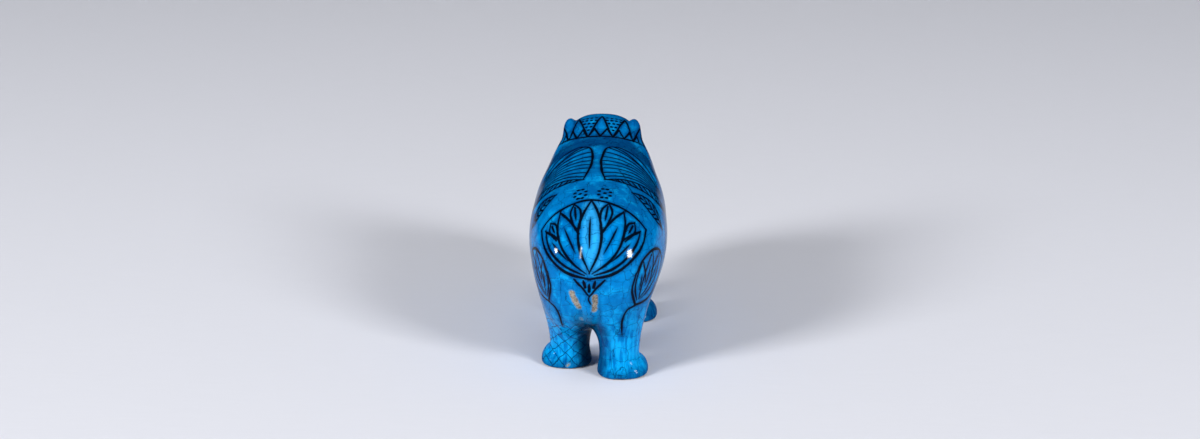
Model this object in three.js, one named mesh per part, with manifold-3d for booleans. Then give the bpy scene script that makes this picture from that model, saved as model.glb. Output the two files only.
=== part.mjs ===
// A standing hippopotamus moulded in one piece of blue faience, as Egyptian tomb figures were.
// Millimetres, +Z up, head towards -Y, the four soles on Z = 0, origin under the middle of the box.
import * as THREE from "three";
import { mergeVertices } from "three/addons/utils/BufferGeometryUtils.js";
import Module from "manifold-3d";

// Driving dimensions
const LENGTH = 200; // rump to muzzle
const WIDTH = 76; // across the belly
const HEIGHT = 117; // soles to crown, a little less once the masses are rounded together
const BODY_BLEND = 17; // how softly the masses of the trunk run together
const HEAD_BLEND = 9; // the same for the masses of the head
const LEG_BLEND = 9; // the same where a leg leaves the trunk
const FOOT_BLEND = 4; // the same where a leg spreads into its foot
const TRIM_BLEND = 2.5; // the same for ears, eyes, nostrils and tail

// The pose and the carving are shares: across in widths, along in lengths, up in heights.
const across = (share) => share * WIDTH;
const along = (share) => share * LENGTH;
const up = (share) => share * HEIGHT;

// Every mass is a bulging round form: where its middle is, how far it reaches each way,
// its nod about the X axis in degrees, and its power, which is 2 for an egg and more for a squarer form.
const mass = (x, y, z, rx, ry, rz, nod = 0, power = 2) => ({
  x: across(x),
  y: along(y),
  z: up(z),
  rx: across(rx),
  ry: along(ry),
  rz: up(rz),
  sin: Math.sin(THREE.MathUtils.degToRad(nod)),
  cos: Math.cos(THREE.MathUtils.degToRad(nod)),
  power,
});

// The right flank is a little fuller than the left, as on a figure shaped by hand.
const TRUNK = [
  mass(-0.0275, 0.265, 0.545, 0.475, 0.235, 0.325, 0, 2.2), // hips
  mass(-0.013, 0.05, 0.575, 0.503, 0.27, 0.325, 0, 2.1), // belly
  mass(0, -0.12, 0.6, 0.412, 0.17, 0.315, 0, 2.2), // shoulders
];
const HAUNCH = mass(0.16, 0.3, 0.42, 0.18, 0.13, 0.26);
const BUTTOCK = mass(0.13, 0.36, 0.39, 0.17, 0.085, 0.16);
const TAIL = mass(0, 0.455, 0.37, 0.065, 0.024, 0.125, -33);
const HEAD = [
  mass(0, -0.185, 0.66, 0.386, 0.13, 0.26, 0, 2.3), // neck
  mass(0, -0.245, 0.76, 0.31, 0.115, 0.222, 0, 2.5), // cranium
  mass(0, -0.355, 0.585, 0.27, 0.125, 0.175, 24, 2.4), // bridge of the face
  mass(0, -0.42, 0.475, 0.32, 0.08, 0.18, 0, 2.6), // muzzle
  mass(0, -0.33, 0.37, 0.27, 0.14, 0.11, 0, 2.4), // lower jaw
];
const EYE = mass(0.215, -0.315, 0.83, 0.08, 0.034, 0.055);
const NOSTRIL = mass(0.17, -0.45, 0.62, 0.08, 0.032, 0.055);
const EAR = mass(0.242, -0.24, 0.9, 0.055, 0.03, 0.068);

// Each leg: where its sole is, and where its root meets the trunk.
const LEG_TOP = 0.45; // height of the roots
const SHANK = { atTop: 0.17, atAnkle: 0.135, depth: 1.09 }; // half widths, and how much deeper than wide
const FOOT = { halfWidth: 0.18, halfLength: 0.08, halfHeight: 0.095, forward: 0.024, outward: 0.036, power: 2.4 };
const LEGS = [
  { side: -1, x: 0.19, y: 0.375, rootX: 0.22, rootY: 0.35 }, // right hind, a short step back
  { side: 1, x: 0.165, y: 0.29, rootX: 0.185, rootY: 0.28 }, // left hind
  { side: -1, x: 0.22, y: -0.12, rootX: 0.22, rootY: -0.12 }, // right fore
  { side: 1, x: 0.22, y: -0.19, rootX: 0.22, rootY: -0.17 }, // left fore
];
const SOLE_OVERLAP = 3; // how far the feet run below the soles before they are cut flat

// Signed distances, negative inside
const smoothMin = (a, b, k) => {
  const h = Math.max(k - Math.abs(a - b), 0) / k;
  return Math.min(a, b) - (h * h * k) / 4;
};

function toMass(m, x, y, z, side = 1) {
  const dy = y - m.y;
  const dz = z - m.z;
  const n = m.power;
  const ax = Math.abs(x * side - m.x) / m.rx;
  const ay = Math.abs(dy * m.cos + dz * m.sin) / m.ry;
  const az = Math.abs(dz * m.cos - dy * m.sin) / m.rz;
  const q = (ax ** n + ay ** n + az ** n) ** (1 / n);
  if (q === 0) return -Math.min(m.rx, m.ry, m.rz);
  const slope = Math.hypot(
    (ax / q) ** (n - 1) / m.rx,
    (ay / q) ** (n - 1) / m.ry,
    (az / q) ** (n - 1) / m.rz,
  );
  return (q - 1) / slope;
}

// A leg is a cone from its root to its ankle on a rounded foot.
function toLeg(leg, x, y, z) {
  const top = up(LEG_TOP);
  const share = THREE.MathUtils.clamp(z / top, 0, 1);
  const cx = across(THREE.MathUtils.lerp(leg.x, leg.rootX, share)) * leg.side;
  const cy = along(THREE.MathUtils.lerp(leg.y, leg.rootY, share));
  const r = across(THREE.MathUtils.lerp(SHANK.atAnkle, SHANK.atTop, share));
  const shank = Math.max(Math.hypot(x - cx, (y - cy) / SHANK.depth) - r, z - top);
  const foot = {
    ...mass(0, 0, 0, FOOT.halfWidth, FOOT.halfLength, FOOT.halfHeight, 0, FOOT.power),
    x: across(leg.x + FOOT.outward),
    y: along(leg.y - FOOT.forward),
  };
  return smoothMin(shank, toMass(foot, x, y, z, leg.side), FOOT_BLEND);
}

function toHippo(x, y, z) {
  const mirrored = x < 0 ? -1 : 1;
  let d = toMass(TRUNK[0], x, y, z);
  for (const m of TRUNK.slice(1)) d = smoothMin(d, toMass(m, x, y, z), BODY_BLEND);
  for (const m of [HAUNCH, BUTTOCK]) d = smoothMin(d, toMass(m, x, y, z, mirrored), LEG_BLEND);
  let head = toMass(HEAD[0], x, y, z);
  for (const m of HEAD.slice(1)) head = smoothMin(head, toMass(m, x, y, z), HEAD_BLEND);
  for (const m of [EYE, NOSTRIL, EAR]) head = smoothMin(head, toMass(m, x, y, z, mirrored), TRIM_BLEND);
  d = smoothMin(d, head, HEAD_BLEND);
  for (const leg of LEGS) d = smoothMin(d, toLeg(leg, x, y, z), LEG_BLEND);
  d = smoothMin(d, toMass(TAIL, x, y, z), TRIM_BLEND);
  return Math.max(d, -SOLE_OVERLAP - z);
}

// The surface is found on a grid whose lines stand closer together where the form is small.
const GRID = {
  margin: 8, // how far the grid runs past the figure
  middle: { within: across(0.09), step: across(0.026) }, // between the legs and at the tail
  sides: across(0.057),
  head: { before: -along(0.2), step: along(0.0172) },
  trunk: along(0.0255),
  crown: { above: up(0.8), step: up(0.026) },
  height: up(0.036),
};
const BARELY = 1e-3; // how far inside a grid corner is put that has to be inside
const CELL_INSET = 0.06; // how near to the walls of its cell a vertex may lie, as a share of the cell
const SETTLE_TURNS = 6;
const PROBE = 0.01; // how far to each side the slope is felt
const LEAST_SLOPE = 0.2; // below this the slope says too little to follow it all the way

function gridLines(from, to, stepAt) {
  const lines = [from];
  while (lines.at(-1) < to) lines.push(lines.at(-1) + stepAt(lines.at(-1)));
  return lines;
}

const cornerOf = (at, bits, step) =>
  at + (bits & 1) * step[0] + ((bits >> 1) & 1) * step[1] + (bits >> 2) * step[2];

function eachCell(size, first, visit) {
  for (let k = first; k < size[2] - 1; k++)
    for (let j = first; j < size[1] - 1; j++)
      for (let i = first; i < size[0] - 1; i++) visit(i + size[0] * (j + size[1] * k), [i, j, k]);
}

// The surface would touch itself where only two diagonal corners of a grid face are on one side of it,
// or only two opposite corners of a cell, so one more corner is put inside there.
function openPinches(values, size, step) {
  const inside = (at) => values[at] < 0;
  let changed = true;
  const fill = (at) => {
    values[at] = -BARELY;
    changed = true;
  };
  while (changed) {
    changed = false;
    eachCell(size, 0, (at) => {
      for (let axis = 0; axis < 3; axis++) {
        const u = step[axis];
        const v = step[(axis + 1) % 3];
        const crossed = inside(at) === inside(at + u + v) && inside(at + u) === inside(at + v);
        if (crossed && inside(at) !== inside(at + u)) fill(inside(at) ? at + u : at);
      }
      for (let bits = 0; bits < 4; bits++) {
        const one = cornerOf(at, bits, step);
        const side = inside(one);
        if (side !== inside(cornerOf(at, 7 - bits, step))) continue;
        let alike = 0;
        for (let other = 0; other < 8; other++) if (inside(cornerOf(at, other, step)) === side) alike++;
        if (alike === 2) fill(side ? cornerOf(at, bits ^ 1, step) : one);
      }
    });
  }
}

// One vertex for each grid cell that the surface crosses, and one quad for each grid line that it cuts
function surfaceOf(field, lines) {
  const size = lines.map((l) => l.length);
  const step = [1, size[0], size[0] * size[1]];
  const values = new Float64Array(size[0] * size[1] * size[2]);
  for (let k = 0, at = 0; k < size[2]; k++)
    for (let j = 0; j < size[1]; j++)
      for (let i = 0; i < size[0]; i++, at++) values[at] = field(lines[0][i], lines[1][j], lines[2][k]);
  openPinches(values, size, step);
  const vertexOf = new Map();
  const positions = [];
  eachCell(size, 0, (at, cell) => {
    const point = cellPoint(values, lines, step, at, cell);
    if (!point) return;
    vertexOf.set(at, positions.length / 3);
    positions.push(...settle(field, point, lines, cell));
  });
  const index = [];
  eachCell(size, 1, (at) => {
    for (let axis = 0; axis < 3; axis++) {
      const inside = values[at] < 0;
      if (inside === values[at + step[axis]] < 0) continue;
      const u = step[(axis + 1) % 3];
      const v = step[(axis + 2) % 3];
      const ring = [at - u - v, at - v, at, at - u].map((cell) => vertexOf.get(cell));
      if (!inside) ring.reverse();
      index.push(...splitQuad(ring, positions));
    }
  });
  return { positions, index };
}

// The middle of the places where the surface cuts the edges of a cell
function cellPoint(values, lines, step, at, cell) {
  const sum = new THREE.Vector3();
  let crossings = 0;
  const place = (bits) =>
    new THREE.Vector3(
      lines[0][cell[0] + (bits & 1)],
      lines[1][cell[1] + ((bits >> 1) & 1)],
      lines[2][cell[2] + (bits >> 2)],
    );
  for (let bits = 0; bits < 8; bits++)
    for (const axis of [1, 2, 4]) {
      if (bits & axis) continue;
      const a = values[cornerOf(at, bits, step)];
      const b = values[cornerOf(at, bits | axis, step)];
      if (a < 0 === b < 0) continue;
      sum.add(place(bits).lerp(place(bits | axis), a / (a - b)));
      crossings++;
    }
  return crossings ? sum.divideScalar(crossings) : null;
}

// Moves a point onto the surface along its steepest slope, but not out of its own cell
function settle(field, point, lines, cell) {
  const low = new THREE.Vector3(...cell.map((c, axis) => lines[axis][c]));
  const high = new THREE.Vector3(...cell.map((c, axis) => lines[axis][c + 1]));
  const inset = high.clone().sub(low).multiplyScalar(CELL_INSET);
  low.add(inset);
  high.sub(inset);
  for (let turn = 0; turn < SETTLE_TURNS; turn++) {
    const { x, y, z } = point;
    const slope = new THREE.Vector3(
      field(x + PROBE, y, z) - field(x - PROBE, y, z),
      field(x, y + PROBE, z) - field(x, y - PROBE, z),
      field(x, y, z + PROBE) - field(x, y, z - PROBE),
    ).divideScalar(2 * PROBE);
    point.addScaledVector(slope, -field(x, y, z) / Math.max(slope.lengthSq(), LEAST_SLOPE));
    point.clamp(low, high);
  }
  return point.toArray();
}

function splitQuad([a, b, c, d], positions) {
  const at = (i) => new THREE.Vector3().fromArray(positions, i * 3);
  const shorter = at(a).distanceTo(at(c)) < at(b).distanceTo(at(d));
  return shorter ? [a, b, c, a, c, d] : [a, b, d, b, c, d];
}

// Cutting
const wasm = await Module();
wasm.setup();

function solidOf(geometry) {
  const bare = new THREE.BufferGeometry();
  bare.setAttribute("position", geometry.getAttribute("position").clone());
  bare.setIndex(geometry.index);
  const merged = mergeVertices(bare, 1e-4);
  return new wasm.Manifold(
    new wasm.Mesh({
      numProp: 3,
      vertProperties: new Float32Array(merged.attributes.position.array),
      triVerts: new Uint32Array(merged.index.array),
    }),
  );
}

function geometryOf(solid) {
  const mesh = solid.getMesh();
  const geometry = new THREE.BufferGeometry();
  geometry.setAttribute("position", new THREE.BufferAttribute(mesh.vertProperties, 3));
  geometry.setIndex(new THREE.BufferAttribute(mesh.triVerts, 1));
  geometry.computeVertexNormals();
  return geometry;
}

const stepX = (x) => (Math.abs(x) < GRID.middle.within ? GRID.middle.step : GRID.sides);
const stepY = (y) => (y < GRID.head.before ? GRID.head.step : GRID.trunk);
const stepZ = (z) => (z > GRID.crown.above ? GRID.crown.step : GRID.height);
const hull = surfaceOf(toHippo, [
  gridLines(-WIDTH / 2 - GRID.margin, WIDTH / 2 + GRID.margin, stepX),
  gridLines(-LENGTH / 2 - GRID.margin, LENGTH / 2 + GRID.margin, stepY),
  gridLines(-SOLE_OVERLAP - GRID.margin, HEIGHT + GRID.margin, stepZ),
]);
const modelled = new THREE.BufferGeometry();
modelled.setAttribute("position", new THREE.BufferAttribute(new Float32Array(hull.positions), 3));
modelled.setIndex(hull.index);

// The feet are cut off flat, so that the figure stands.
const below = new THREE.BoxGeometry(WIDTH * 3, LENGTH * 3, HEIGHT);
below.translate(0, 0, -HEIGHT / 2);
const body = geometryOf(solidOf(modelled).subtract(solidOf(below)));
body.computeBoundingBox();
const middle = body.boundingBox.getCenter(new THREE.Vector3());

const glaze = new THREE.MeshStandardMaterial({ color: 0x0a86d6, roughness: 0.18, metalness: 0 });
const hippopotamus = new THREE.Mesh(body, glaze);
hippopotamus.name = "hippopotamus";
hippopotamus.position.set(-middle.x, -middle.y, 0);

const figure = new THREE.Group();
figure.add(hippopotamus);
export default figure;
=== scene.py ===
import math
import random

import bpy
import numpy as np
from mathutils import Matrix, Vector
from mathutils.kdtree import KDTree


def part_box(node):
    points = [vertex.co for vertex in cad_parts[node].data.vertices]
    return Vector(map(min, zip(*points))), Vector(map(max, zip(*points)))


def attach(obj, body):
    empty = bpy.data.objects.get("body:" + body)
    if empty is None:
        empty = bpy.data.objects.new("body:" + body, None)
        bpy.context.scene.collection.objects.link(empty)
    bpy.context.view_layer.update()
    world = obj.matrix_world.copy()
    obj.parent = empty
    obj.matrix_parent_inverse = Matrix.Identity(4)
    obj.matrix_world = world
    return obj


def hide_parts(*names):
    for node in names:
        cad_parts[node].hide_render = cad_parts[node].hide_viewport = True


# A standing hippopotamus figure in blue glazed faience: one smooth glazed piece with its finer relief,
# painted with dark water plants. The painting is drawn as brush strokes on flat charts, which are
# cast onto the figure and kept as distances at its vertices, so the lines stay sharp between them.

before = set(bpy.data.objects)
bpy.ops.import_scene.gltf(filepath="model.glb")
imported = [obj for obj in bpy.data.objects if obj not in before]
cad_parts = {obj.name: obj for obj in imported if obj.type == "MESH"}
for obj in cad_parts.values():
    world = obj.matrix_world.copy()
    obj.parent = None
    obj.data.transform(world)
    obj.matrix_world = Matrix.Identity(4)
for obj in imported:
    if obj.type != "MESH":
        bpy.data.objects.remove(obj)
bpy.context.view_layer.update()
mm = 0.001
luck = random.Random(7)


def srgb(red, green, blue):
    # a colour as read off a screen, 0 to 255, as linear light
    share = [c / 255 for c in (red, green, blue)]
    return tuple(c / 12.92 if c <= 0.04045 else ((c + 0.055) / 1.055) ** 2.4 for c in share)


def direction(azimuth, elevation):
    # a unit vector, the azimuth in degrees from the tail's side towards the animal's left
    turn, rise = math.radians(azimuth), math.radians(elevation)
    return np.array((math.sin(turn) * math.cos(rise), math.cos(turn) * math.cos(rise), math.sin(rise)))


def addObject(name, data):
    made = bpy.data.objects.new(name, data)
    bpy.context.scene.collection.objects.link(made)
    return made


# Camera, at the photograph's angle: behind the figure and above it
view = {
    "lens": 78.96,
    "sensor": 36,
    "clip": (0.05, 50),  # m
    "distance": 1500,  # mm
    "azimuth": -2.7,
    "elevation": 16.5,
    "stand": (0, 0, 50),  # the camera's distance and angles are from here, in mm
    "aim": (0.7, -4.3, 64.8),
}


def addCamera():
    back = Vector(direction(view["azimuth"], view["elevation"]))
    made = addObject("camera", bpy.data.cameras.new("camera"))
    made.data.lens = view["lens"]
    made.data.sensor_width = view["sensor"]
    made.data.clip_start, made.data.clip_end = view["clip"]
    made.location = (Vector(view["stand"]) + back * view["distance"]) * mm
    made.rotation_euler = (Vector(view["aim"]) * mm - made.location).to_track_quat("-Z", "Y").to_euler()
    bpy.context.scene.camera = made


addCamera()
print("camera set")

# The figure's form: the same soft round masses as the solid, in shares of its width, length and height
form = {
    "boxShares": (1.01955, 1.0019, 0.98198),  # the solid's box over its driving width, length and height
    "boxMiddle": (0.01946, 0.00065, 0),  # from the masses' own middle to the box's, in the same shares
    "bodyBlend": 17,  # mm over which masses run together
    "headBlend": 9,
    "legBlend": 9,
    "footBlend": 4,
    "trimBlend": 2.5,
    "soleEdge": 2.2,  # how softly the sides turn into the soles
    "legTop": 0.45,
}
boxLow, boxHigh = [np.array(corner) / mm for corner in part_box("hippopotamus")]
spans = (boxHigh - boxLow) / np.array(form["boxShares"])
wide, long, tall = spans
middle = np.array(form["boxMiddle"]) * spans


def mass(x, y, z, halfWide, halfLong, halfTall, nod=0, power=2):
    # a round mass: its middle, its half sizes, how far it nods and how boxy it is
    lean = math.radians(nod)
    return {
        "middle": np.array((x, y, z)) * spans,
        "half": np.array((halfWide, halfLong, halfTall)) * spans,
        "sine": math.sin(lean),
        "cosine": math.cos(lean),
        "power": power,
    }


hips = mass(-0.0275, 0.265, 0.545, 0.475, 0.235, 0.325, 0, 2.2)
belly = mass(-0.013, 0.05, 0.575, 0.503, 0.27, 0.325, 0, 2.1)
shoulders = mass(0, -0.12, 0.6, 0.412, 0.17, 0.315, 0, 2.2)
haunch = mass(0.16, 0.3, 0.42, 0.18, 0.13, 0.26)
buttock = mass(0.13, 0.36, 0.39, 0.17, 0.085, 0.16)
tail = mass(0, 0.455, 0.37, 0.065, 0.024, 0.125, -33)
neck = mass(0, -0.185, 0.66, 0.386, 0.13, 0.26, 0, 2.3)
cranium = mass(0, -0.245, 0.76, 0.31, 0.115, 0.222, 0, 2.5)
faceBridge = mass(0, -0.355, 0.585, 0.27, 0.125, 0.175, 24, 2.4)
muzzle = mass(0, -0.42, 0.475, 0.32, 0.08, 0.18, 0, 2.6)
lowerJaw = mass(0, -0.33, 0.37, 0.27, 0.14, 0.11, 0, 2.4)
eye = mass(0.215, -0.315, 0.83, 0.08, 0.034, 0.055)
nostril = mass(0.17, -0.45, 0.62, 0.08, 0.032, 0.055)
ear = mass(0.242, -0.24, 0.9, 0.055, 0.03, 0.068)
shank = {"atTop": 0.17 * wide, "atAnkle": 0.135 * wide, "depth": 1.09}
footShape = {"half": (0.18, 0.08, 0.095), "forward": 0.024, "outward": 0.036, "power": 2.4}
legs = [
    {"side": -1, "x": 0.19, "y": 0.375, "rootX": 0.22, "rootY": 0.35},  # right hind, a short step back
    {"side": 1, "x": 0.165, "y": 0.29, "rootX": 0.185, "rootY": 0.28},  # left hind
    {"side": -1, "x": 0.22, "y": -0.12, "rootX": 0.22, "rootY": -0.12},  # right fore
    {"side": 1, "x": 0.22, "y": -0.19, "rootX": 0.22, "rootY": -0.17},  # left fore
]


def softMin(first, second, reach):
    near = np.maximum(reach - np.abs(first - second), 0) / reach
    return np.minimum(first, second) - near * near * reach / 4


def toMass(shape, points):
    away = points - shape["middle"]
    along = away[:, 1] * shape["cosine"] + away[:, 2] * shape["sine"]
    above = away[:, 2] * shape["cosine"] - away[:, 1] * shape["sine"]
    shares = np.abs(np.stack((away[:, 0], along, above), 1)) / shape["half"]
    power = shape["power"]
    size = np.maximum(np.sum(shares ** power, 1) ** (1 / power), 1e-6)
    slope = np.sqrt(np.sum(((shares / size[:, None]) ** (power - 1) / shape["half"]) ** 2, 1))
    return (size - 1) / slope


def footOf(leg):
    x, y = leg["x"] + footShape["outward"], leg["y"] - footShape["forward"]
    return mass(x, y, 0, *footShape["half"], 0, footShape["power"])


def toLeg(leg, points):
    top = form["legTop"] * tall
    share = np.clip(points[:, 2] / top, 0, 1)
    atX = (leg["x"] + (leg["rootX"] - leg["x"]) * share) * wide * leg["side"]
    atY = (leg["y"] + (leg["rootY"] - leg["y"]) * share) * long
    radius = shank["atAnkle"] + (shank["atTop"] - shank["atAnkle"]) * share
    column = np.hypot(points[:, 0] - atX, (points[:, 1] - atY) / shank["depth"]) - radius
    column = np.maximum(column, points[:, 2] - top)
    return softMin(column, toMass(footOf(leg), points * (leg["side"], 1, 1)), form["footBlend"])


def ontoLeft(points):
    # both halves of the figure folded onto its left one
    return np.abs(points * (1, 0, 0)) + points * (0, 1, 1)


def joined(body, shapes, points, blend):
    # a body and further round masses that run together with it
    for shape in shapes:
        body = softMin(body, toMass(shape, points), form[blend])
    return body


def toFigure(points):
    # about how far each point is outside the figure, in mm; less than zero is inside
    mirrored = ontoLeft(points)
    body = joined(toMass(hips, points), (belly, shoulders), points, "bodyBlend")
    body = joined(body, (haunch, buttock), mirrored, "legBlend")
    head = joined(toMass(neck, points), (cranium, faceBridge, muzzle, lowerJaw), points, "headBlend")
    head = joined(head, (eye, nostril, ear), mirrored, "trimBlend")
    whole = softMin(body, head, form["headBlend"])
    for leg in legs:
        whole = softMin(whole, toLeg(leg, points), form["legBlend"])
    whole = joined(whole, (tail,), points, "trimBlend")
    return -softMin(-whole, points[:, 2], form["soleEdge"])


def slopeAt(points, here=None, step=0.01):
    here = toFigure(points) if here is None else here
    return np.stack([toFigure(points + step * axis) - here for axis in np.eye(3)], 1) / step


def unit(vectors):
    return vectors / np.maximum(np.linalg.norm(vectors, axis=-1, keepdims=True), 1e-9)


# The mesh: a fine even skin, drawn onto the form
skin = {
    "grain": 0.92,  # mm between its vertices
    "rounds": 5,  # of drawing it on
    "evened": 3,  # the first of them, which also even the vertices out
    "evening": 0.7,  # the share of the way to the neighbours' middle that they go
    "leastSlope": 0.3,
    "soles": 0.01,  # the height up to which a vertex belongs to a sole
    "settle": 10,  # mm around a place that the hand evens the trunk out over
    "settleNeck": (-42, -30),  # where that begins and is full, along the body
    "settleTail": (88, 80),
    "settleLegs": (34, 44),  # and above the legs
}


def evenSkin():
    # a new mesh of small even faces over the solid
    draft = addObject("draft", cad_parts["hippopotamus"].data.copy())
    remesh = draft.modifiers.new("remesh", "REMESH")
    remesh.mode = "VOXEL"
    remesh.voxel_size = skin["grain"] * mm
    made = bpy.data.meshes.new_from_object(draft.evaluated_get(bpy.context.evaluated_depsgraph_get()))
    bpy.data.objects.remove(draft)
    return made


def valuesOf(items, field, width, kind=float):
    flat = np.empty(len(items) * width, kind)
    items.foreach_get(field, flat)
    return flat.reshape(-1, width)


def neighbourMean(values, edges):
    # the mean of each vertex's neighbours
    ends = np.concatenate((edges[:, 0], edges[:, 1]))
    others = np.concatenate((edges[:, 1], edges[:, 0]))
    counts = np.maximum(np.bincount(ends, minlength=len(values)), 1)
    columns = values.reshape(len(values), -1)
    sums = [np.bincount(ends, weights=column[others], minlength=len(values)) for column in columns.T]
    return (np.stack(sums, 1) / counts[:, None]).reshape(values.shape)


def drawOn(points, edges):
    # moves the vertices onto the form, and evens them out along it at first
    for turn in range(skin["rounds"]):
        away = toFigure(points)
        slope = slopeAt(points, away)
        steep = np.maximum(np.sum(slope * slope, 1), skin["leastSlope"])
        points = points - slope * (away / steep)[:, None]
        if turn < skin["evened"]:
            normals = unit(slope)
            shift = neighbourMean(points, edges) - points
            points = points + skin["evening"] * (shift - normals * np.sum(shift * normals, 1)[:, None])
    points[:, 2] = np.maximum(points[:, 2], 0)
    return points


def fadeIn(values, start, full):
    return np.clip((values - start) / (full - start), 0, 1)


def settled(points, normals):
    # the trunk as a hand leaves it, without the faint creases between its masses
    amount = fadeIn(points[:, 1], *skin["settleNeck"]) * fadeIn(points[:, 1], *skin["settleTail"])
    amount = amount * fadeIn(points[:, 2], *skin["settleLegs"])
    chosen = np.nonzero(amount)[0]
    near = points[chosen]
    corners = [np.array((a, b, c)) / math.sqrt(3) for a in (1, -1) for b in (1, -1) for c in (1, -1)]
    spokes = corners + list(np.eye(3)) + list(-np.eye(3))
    away = np.mean([toFigure(near + spoke * skin["settle"]) for spoke in spokes], axis=0)
    evened = points.copy()
    evened[chosen] -= normals[chosen] * (away * amount[chosen])[:, None]
    return evened


skinMesh = evenSkin()
skinEdges = valuesOf(skinMesh.edges, "vertices", 2, int)
base = drawOn(valuesOf(skinMesh.vertices, "co", 3) / mm - middle, skinEdges)
baseNormal = unit(slopeAt(base))
print("skin drawn on:", len(skinMesh.polygons), "faces, off by", float(np.abs(toFigure(base)).max()), "mm")

# The finer relief, in mm along the surface's normal: grooves and ridges along short paths, and hollows
relief = {
    # places on the figure are in mm from the masses' own middle
    "earHollow": {"from": ear, "shift": (2.6, -3.6, 2.2), "half": (3.2, 4.0, 4.6), "depth": 1.5},
    "nostrilHollow": {"from": nostril, "shift": (0.4, -3.6, 4.9), "half": (2.7, 3.2, 3.0), "depth": 2.3},
    "eyeBall": {"from": eye, "shift": (5.0, -3.2, 1.6), "half": (2.6, 3.1, 2.4), "depth": -0.7},
    "lid": {"wide": 4.6, "high": 3.3, "ridge": 0.9, "reach": 4.5, "depth": -0.55},
    # the mouth's line rises over the curl towards its corner and sets in over the fade
    "mouth": {"high": 0.405, "corner": -0.285, "rise": 5, "curl": 16, "fade": 2, "width": 1.0, "depth": 1.25},
    "toe": {
        "turns": (-42, 0, 42),
        "path": ((1.5, 0.4), (0, 4.5), (-4, 9.5)),  # outwards and up from the sole's rim
        "width": 0.95,
        "depth": 0.75,
    },
    "tailSide": {
        "beside": 0.6,  # the tail
        "path": ((0.9, 98.5, 56), (1, 97, 48), (0.9, 93, 39), (0.5, 90, 33)),  # x in shares of the side
        "width": 1.3,
        "depth": 0.55,
    },
    "fold": {
        "path": ((13.5, 86, 33.5), (8.6, 84, 30.4), (4.2, 77, 27.6), (2.5, 72, 27)),
        "width": 1.3,
        "depth": 0.8,
    },
    "chip": {"at": (13.3, 70.2, 2.5), "half": (2.0, 2.0, 1.6), "depth": 0.3},
    "worn": {"depth": 0.3, "edge": 0.5},
}


def hollow(points, centre, item):
    near = np.sum(((points - np.array(centre)) / np.array(item["half"])) ** 2, 1)
    return item["depth"] * np.maximum(1 - near, 0) ** 2


def toPath(points, path):
    # how far each point is from a path of straight stretches
    path = np.array(path, float)
    nearest = np.full(len(points), 1e9)
    for start, end in zip(path[:-1], path[1:]):
        run = end - start
        share = np.clip((points - start) @ run / (run @ run), 0, 1)
        nearest = np.minimum(nearest, np.linalg.norm(points - start - share[:, None] * run, axis=1))
    return nearest


def groove(points, path, item):
    return item["depth"] * np.exp(-(toPath(points, path) / item["width"]) ** 2)


def castOut(origin, rays, far=80.0, halvings=22):
    # where rays from inside the figure leave it
    low = np.zeros(len(rays))
    high = np.full(len(rays), far)
    for _ in range(halvings):
        half = (low + high) / 2
        inside = toFigure(origin + rays * half[:, None]) < 0
        low = np.where(inside, half, low)
        high = np.where(inside, high, half)
    return origin + rays * low[:, None]


# Flat charts that the painting is laid out on, in mm across and up at their reach
charts = {
    # where each looks out from, its azimuth, elevation and reach
    "rump": ((0, 45, 62), 0, 25, 52),
    "back": ((0, 28, 62), 90, 50, 44),
    "croup": ((0, 60, 62), 0, 80, 42),
    "flank": ((0, 50, 62), 90, 40, 42),
    "thigh": ((0, 55, 58), 52, 0, 40),
    "nape": ((0, -48, 72), 0, 65, 40),
    "side": ((0, -2, 60), 90, 8, 37),
    "cheek": ((0, -62, 72), 100, 5, 26),
    "eye": ((0, -60, 88), 105, 20, 22),
    "face": ((0, -62, 66), 180, 48, 36),
}


def onFigure(chart, spots, side=1):
    # places on a chart as places on the figure; side -1 mirrors them
    origin, azimuth, elevation, reach = charts[chart]
    spots = np.asarray(spots, float).reshape(-1, 2)
    rays = direction(azimuth, elevation) * reach + direction(azimuth + 90, 0) * spots[:, :1]
    rays = rays + direction(azimuth, elevation + 90) * spots[:, 1:]
    flip = np.array((side, 1, 1))
    return castOut(np.array(origin, float) * flip, unit(rays * flip))


# Where the glaze is gone: two patches beside the tail, a speck below them and the chip on the left hind foot
wornPatches = [
    # a path and a radius each
    ([(9.3, 95.9, 52.8), (8.0, 95, 48.3), (5.8, 93.3, 44.4)], 1.85),
    ([(-2.7, 98.4, 51.2), (-2.9, 97, 47.2), (-2.5, 94.9, 42.9)], 1.7),
    ([(4.5, 88.9, 36.6), (4.4, 88.2, 35.6)], 1.0),
    ([(13.1, 70.1, 2.8), (13.6, 69.9, 2.2)], 0.7),
]


def toWorn(points):
    # how far each point is outside the worn patches
    return np.min([toPath(points, path) - radius for path, radius in wornPatches], axis=0)


def centreOf(item):
    return item["from"]["middle"] + np.array(item["shift"])


def headRelief(points):
    mirrored = ontoLeft(points)
    depth = 0
    for item in [relief[name] for name in ("earHollow", "nostrilHollow", "eyeBall")]:
        depth = depth + hollow(mirrored, centreOf(item), item)
    lid = relief["lid"]
    away = mirrored - centreOf(relief["eyeBall"])
    ring = np.sqrt((away[:, 1] / lid["wide"]) ** 2 + (away[:, 2] / lid["high"]) ** 2)
    close = np.exp(-((ring - 1) * lid["high"] / lid["ridge"]) ** 2)
    depth += lid["depth"] * close * (np.abs(away[:, 0]) < lid["reach"])
    mouth = relief["mouth"]
    corner = mouth["corner"] * long
    level = mouth["high"] * tall + mouth["rise"] * fadeIn(points[:, 1], corner - mouth["curl"], corner) ** 2
    slit = np.exp(-((points[:, 2] - level) / mouth["width"]) ** 2)
    return depth + mouth["depth"] * fadeIn(points[:, 1], corner, corner - mouth["fade"]) * slit


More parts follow.
